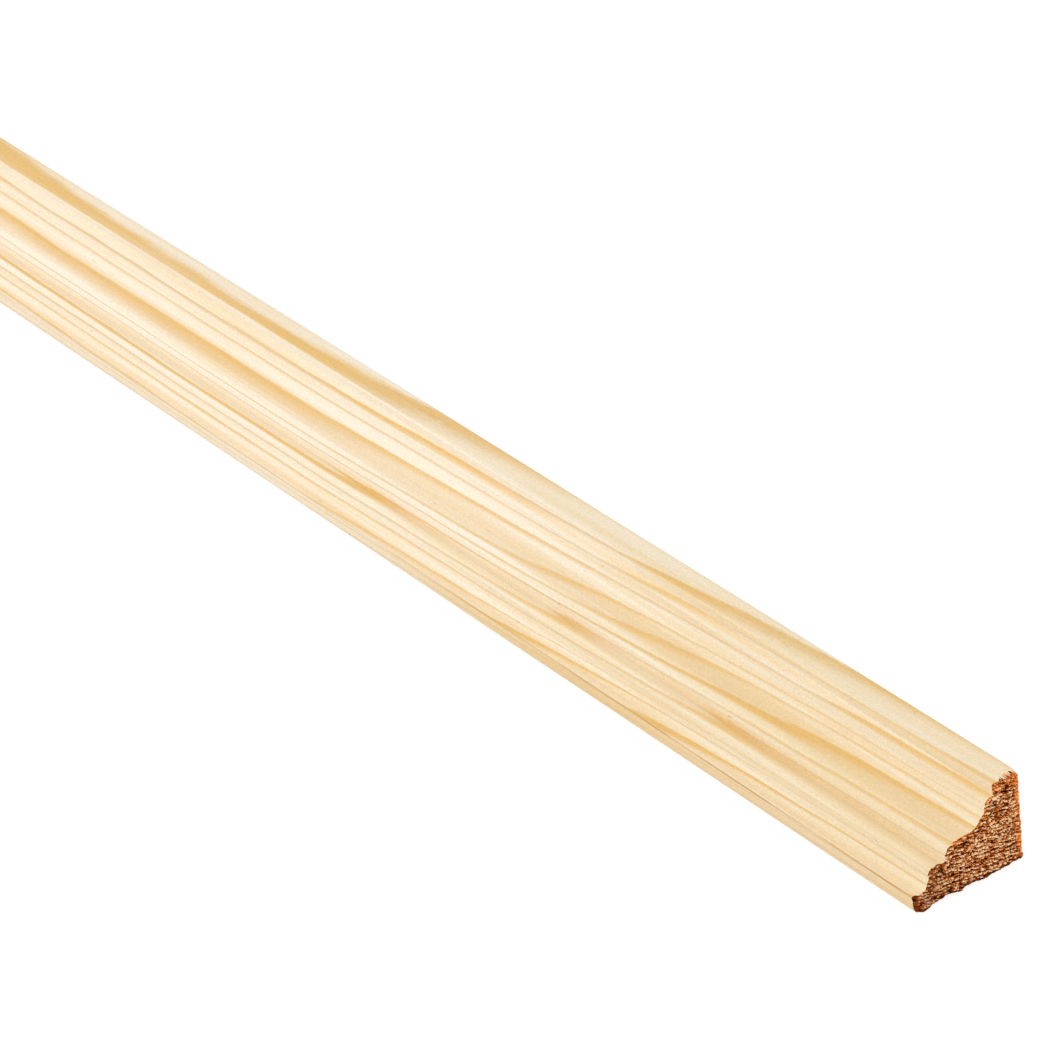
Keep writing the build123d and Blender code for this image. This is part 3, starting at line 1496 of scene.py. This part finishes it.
@dataclass
class CorniceMoulding:
    """The whole moulding: its planed run and its two sawn ends, as one closed mesh."""

    # How the fill is told to keep only what lies inside the outline
    FILL_INSIDE = 1

    section: MouldedSection
    length: float
    rings: GrowthRings = field(default_factory=GrowthRings)
    station_step: float = 24.0
    collar: float = 12.0
    sharp_angle: float = 38.0
    fill_tolerance: float = 1e-7

    def __post_init__(self) -> None:
        """Lay out the map that the faces lie on."""
        self.flat_map = FlatMap(self.length, self.section.back_height)

    def spot(self, u: float, v: float, l: float) -> Spot:
        """Turn a place in the timber into metres in the part's frame."""
        half = self.section.base_width / 2
        return ((self.length / 2 - l) * MM, (half - u) * MM, v * MM)

    def end_spot(self, end: End, u: float, v: float, depth: float) -> Spot:
        """Turn a place on an end into metres in the part's frame."""
        return self.spot(u, v, depth if end is End.NEAR else self.length - depth)

    def build(self) -> bpy.types.Object:
        """Build the moulding's mesh and dress it.

        Returns:
            The finished piece.
        """
        stock = MeshStock()
        outline = self.section.outline()
        stations = self.stations()
        rings = [stock.add_points([self.spot(u, v, l) for u, v in outline]) for l in stations]
        self.add_run(stock, outline, stations, rings)
        for end, ring in ((End.NEAR, rings[0]), (End.FAR, rings[-1])):
            self.add_end(stock, SawnEnd(end, self.rings), outline, ring)
        mesh = stock.mesh("cornice_moulding_wood", self.sharp_angle)
        mesh.materials.append(PlanedPine(rings=self.rings).material())
        mesh.materials.append(SawnPine(rings=self.rings).material())
        piece = bpy.data.objects.new("moulding_wood", mesh)
        bpy.context.scene.collection.objects.link(piece)
        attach(piece, BODY)
        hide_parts(NODE)
        return piece

    def stations(self) -> list[float]:
        """Share out the rings of points along the plain run, as many to each strip of the map.

        Returns:
            The distance of each ring from the near end.
        """
        strips = self.flat_map.strips
        plain = self.length - 2 * self.collar
        steps = strips * math.ceil(plain / self.station_step / strips)
        return [self.collar + plain * step / steps for step in range(steps + 1)]

    @staticmethod
    def shares(outline: np.ndarray) -> np.ndarray:
        """Give how far round the outline each point is, 0 to 1, with the closing point last."""
        steps = np.linalg.norm(np.roll(outline, -1, axis=0) - outline, axis=1)
        return np.concatenate([[0.0], np.cumsum(steps)]) / steps.sum()

    @staticmethod
    def add_band(
        stock: MeshStock,
        rows: Sequence[list[int]],
        distances: Sequence[float],
        around: np.ndarray,
        place: MapPlace,
        flip: bool,
    ) -> None:
        """Skin the band between two rows of points that go round the moulding.

        Args:
            stock: The mesh being made.
            rows: The numbers of the two rows' points.
            distances: How far along the two rows are.
            around: How far round the outline each point is.
            place: Places a point on the map, from how far along and how far round it is.
            flip: Whether the faces are turned over.
        """
        here, there = rows
        near, far = distances
        count = len(here)
        for side in range(count):
            after = (side + 1) % count
            corners = (here[side], there[side], there[after], here[after])
            spots = ((near, side), (far, side), (far, side + 1), (near, side + 1))
            places = [place(distance, around[number]) for distance, number in spots]
            stock.add_face(corners, places, Finish.PLANED, flip)

    def add_run(
        self, stock: MeshStock, outline: np.ndarray, stations: list[float], rings: list[list[int]]
    ) -> None:
        """Skin the plain run between its rings of points.

        Args:
            stock: The mesh being made.
            outline: The section's outline.
            stations: Where the rings are along the length.
            rings: The numbers of the rings' points.
        """
        around = self.shares(outline)
        bands = len(stations) - 1
        per_strip = bands // self.flat_map.strips
        for number in range(bands):
            place = partial(self.flat_map.run, number // per_strip)
            pair = slice(number, number + 2)
            self.add_band(stock, rings[pair], stations[pair], around, place, flip=False)

    def add_end(self, stock: MeshStock, sawn: SawnEnd, outline: np.ndarray, ring: list[int]) -> None:
        """Close one end with its worn collar and its sawn face.

        Args:
            stock: The mesh being made.
            sawn: The end's shape.
            outline: The section's outline.
            ring: The numbers of the plain run's last points.
        """
        end = sawn.end
        fine, starts = sawn.fine_outline(outline)
        around = self.shares(fine)
        last = sawn.rows[-1]
        edge = sawn.worn_row(fine, 0.0)
        edge_depth = [sawn.edge_depth(u, v) for u, v in edge]
        rows = []
        for l in sawn.rows:
            spots = []
            for (u, v), deep in zip(sawn.worn_row(fine, l), edge_depth):
                spots.append(self.end_spot(end, u, v, deep * (1 - l / last) + l))
            rows.append(stock.add_points(spots))
        place = partial(self.flat_map.collar, end)
        for number in range(len(rows) - 1):
            pair = slice(number, number + 2)
            self.add_band(stock, rows[pair], sawn.rows[pair], around, place, end.turned)
        self.add_transition(stock, sawn, rows[-1], ring, starts, around)
        self.add_sawn_face(stock, sawn, edge, rows[0])

    def add_transition(
        self,
        stock: MeshStock,
        sawn: SawnEnd,
        fine_row: list[int],
        ring: list[int],
        starts: list[int],
        around: np.ndarray,
    ) -> None:
        """Join the collar's many points to the plain run's fewer ones with fans of triangles.

        Args:
            stock: The mesh being made.
            sawn: The end's shape.
            fine_row: The numbers of the collar's last points.
            ring: The numbers of the plain run's points.
            starts: For each point of the ring, its number in the collar's row.
            around: How far round the outline each point of the row is.
        """
        place = partial(self.flat_map.collar, sawn.end)
        flip = sawn.end.turned
        last = sawn.rows[-1]
        count = len(fine_row)
        for side in range(len(ring)):
            first, stop = starts[side], starts[side + 1]
            middle = (first + stop) // 2
            coarse, after = ring[side], ring[(side + 1) % len(ring)]
            before_place = place(self.collar, around[first])
            after_place = place(self.collar, around[stop])
            for number in range(first, stop):
                anchor, held = (coarse, before_place) if number < middle else (after, after_place)
                corners = (fine_row[number], anchor, fine_row[(number + 1) % count])
                places = [place(last, around[number]), held, place(last, around[number + 1])]
                stock.add_face(corners, places, Finish.PLANED, flip)
            corners = (fine_row[middle % count], coarse, after)
            places = [place(last, around[middle]), before_place, after_place]
            stock.add_face(corners, places, Finish.PLANED, flip)

    def add_sawn_face(self, stock: MeshStock, sawn: SawnEnd, edge: np.ndarray, ring: list[int]) -> None:
        """Fill an end with its torn, sawn face.

        Args:
            stock: The mesh being made.
            sawn: The end's shape.
            edge: The worn outline.
            ring: The numbers of the outline's points in the mesh.
        """
        end = sawn.end
        inner = sawn.inner_points(edge)
        spots = np.concatenate([edge, inner])
        count = len(edge)
        loop = [(side, (side + 1) % count) for side in range(count)]
        flat = [Vector((-u, v)) for u, v in spots]
        faces = delaunay_2d_cdt(flat, loop, [], self.FILL_INSIDE, self.fill_tolerance)[2]
        rows = [self.end_spot(end, u, v, sawn.depth(u, v)) for u, v in inner]
        numbers = [*ring, *stock.add_points(rows)]
        edge_tree = KDTree(count)
        for number, (u, v) in enumerate(edge):
            edge_tree.insert((u, v, 0.0), number)
        edge_tree.balance()
        for number, (u, v) in zip(numbers, spots):
            room = edge_tree.find((u, v, 0.0))[2]
            for name, level in sawn.colours(u, v, room).items():
                stock.mark(name, number, level)
        for face in faces:
            corners = [numbers[corner] for corner in face]
            places = [self.flat_map.sawn(end, *spots[corner]) for corner in face]
            stock.add_face(corners, places, Finish.SAWN, end.turned)


# The studio

@dataclass(frozen=True)
class StudioFloor:
    """A plain white floor that keeps a faint shadow of what lies on it."""

    half_width: float = 6.0
    drop: float = 0.0002
    colour: Colour = (0.9, 0.9, 0.9)
    shown_colour: Colour = (0.28, 0.28, 0.28)
    shown_glow: float = 0.8

    def build(self) -> bpy.types.Object:
        """Build the floor.

        Returns:
            The floor.
        """
        half = self.half_width
        corners = [(-half, -half), (half, -half), (half, half), (-half, half)]
        mesh = bpy.data.meshes.new("studio_floor")
        mesh.from_pydata([(x, y, -self.drop) for x, y in corners], [], [(0, 1, 2, 3)])
        mesh.materials.append(self.material())
        floor = bpy.data.objects.new("studio_floor", mesh)
        bpy.context.scene.collection.objects.link(floor)
        return floor

    def material(self) -> bpy.types.Material:
        """Build a finish that lights the moulding as pale grey and shows as white.

        Returns:
            The material.
        """
        bench = NodeBench("floor_white")
        nodes = bench.tree.nodes
        nodes.remove(bench.shader)
        plain = bench.node("ShaderNodeBsdfDiffuse")
        bench.feed(plain.inputs["Color"], self.colour)
        shown = bench.node("ShaderNodeBsdfDiffuse")
        bench.feed(shown.inputs["Color"], self.shown_colour)
        glow = bench.node("ShaderNodeEmission")
        glow.inputs["Strength"].default_value = self.shown_glow
        lit = bench.node("ShaderNodeAddShader")
        bench.feed(lit.inputs[0], shown.outputs[0])
        bench.feed(lit.inputs[1], glow.outputs[0])
        both = bench.node("ShaderNodeMixShader")
        bench.feed(both.inputs[0], seen_directly(bench.tree))
        bench.feed(both.inputs[1], plain.outputs[0])
        bench.feed(both.inputs[2], lit.outputs[0])
        bench.feed(bench.output.inputs["Surface"], both.outputs[0])
        return bench.material


def seen_directly(tree: bpy.types.NodeTree) -> bpy.types.NodeSocket:
    """Tell the rays that show the background from the ones that light the moulding.

    Args:
        tree: The node tree to add the test to.

    Returns:
        An output that is 1 for rays from the camera and for mirrored or refracted rays.
    """
    path = tree.nodes.new("ShaderNodeLightPath")
    total = path.outputs["Is Camera Ray"]
    for name in ("Is Glossy Ray", "Is Transmission Ray"):
        either = tree.nodes.new("ShaderNodeMath")
        either.operation = "MAXIMUM"
        tree.links.new(total, either.inputs[0])
        tree.links.new(path.outputs[name], either.inputs[1])
        total = either.outputs[0]
    return total


@dataclass(frozen=True)
class StudioLight:
    """Even light from all round, with a broad soft lamp far off, above and behind the camera."""

    surround: float = 0.69
    key_from: Spot = (1.0, -1.36, 2.0)
    key_spread: float = 36.0
    key_strength: float = 1.174

    def build(self) -> None:
        """Set the world and hang the lamp."""
        world = bpy.data.worlds.new("studio_surround")
        world.use_nodes = True
        bpy.context.scene.world = world
        tree = world.node_tree
        background = tree.nodes["Background"]
        background.inputs["Color"].default_value = (1.0, 1.0, 1.0, 1.0)
        level = tree.nodes.new("ShaderNodeMapRange")
        level.inputs["To Min"].default_value = self.surround
        level.inputs["To Max"].default_value = 1.0
        tree.links.new(seen_directly(tree), level.inputs["Value"])
        tree.links.new(level.outputs["Result"], background.inputs["Strength"])
        lamp = bpy.data.lights.new("key_lamp", "SUN")
        lamp.angle = math.radians(self.key_spread)
        lamp.energy = self.key_strength
        holder = bpy.data.objects.new("key_lamp", lamp)
        holder.location = self.key_from
        holder.rotation_euler = (-Vector(self.key_from)).to_track_quat("-Z", "Y").to_euler()
        bpy.context.scene.collection.objects.link(holder)


@dataclass(frozen=True)
class PhotoCamera:
    """A long lens that looks down the moulding at the photograph's angle."""

    place: Spot = (1.83499, -0.51046, 0.61227)
    aim: Spot = (1.04488, 0.00849, 0.01)
    roll: float = 6.790
    lens: float = 178.3
    film: float = 36.0

    def build(self) -> None:
        """Set the camera up."""
        camera = bpy.data.cameras.new("photo_camera")
        camera.sensor_fit = "HORIZONTAL"
        camera.sensor_width = self.film
        camera.lens = self.lens
        holder = bpy.data.objects.new("photo_camera", camera)
        along = Vector(self.aim) - Vector(self.place)
        level = along.to_track_quat("-Z", "Y").to_matrix().to_4x4()
        turned = level @ Matrix.Rotation(-math.radians(self.roll), 4, "Z")
        holder.matrix_world = Matrix.Translation(self.place) @ turned
        bpy.context.scene.collection.objects.link(holder)
        bpy.context.scene.camera = holder


def main() -> None:
    """Build the camera, the studio and the moulding."""
    logging.basicConfig(level=logging.INFO, format="%(name)s: %(message)s")
    bpy.context.scene.view_settings.view_transform = "Standard"
    PhotoCamera().build()
    StudioLight().build()
    floor = StudioFloor().build()
    log.info("%s: the stage", floor.name)
    low, high = (np.array(corner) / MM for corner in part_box(NODE))
    long, deep, tall = high - low
    moulding = CorniceMoulding(MouldedSection(deep, tall), long).build()
    log.info("%s: %d faces", moulding.name, len(moulding.data.polygons))
    bpy.context.view_layer.update()


if __name__ == "__main__":
    main()
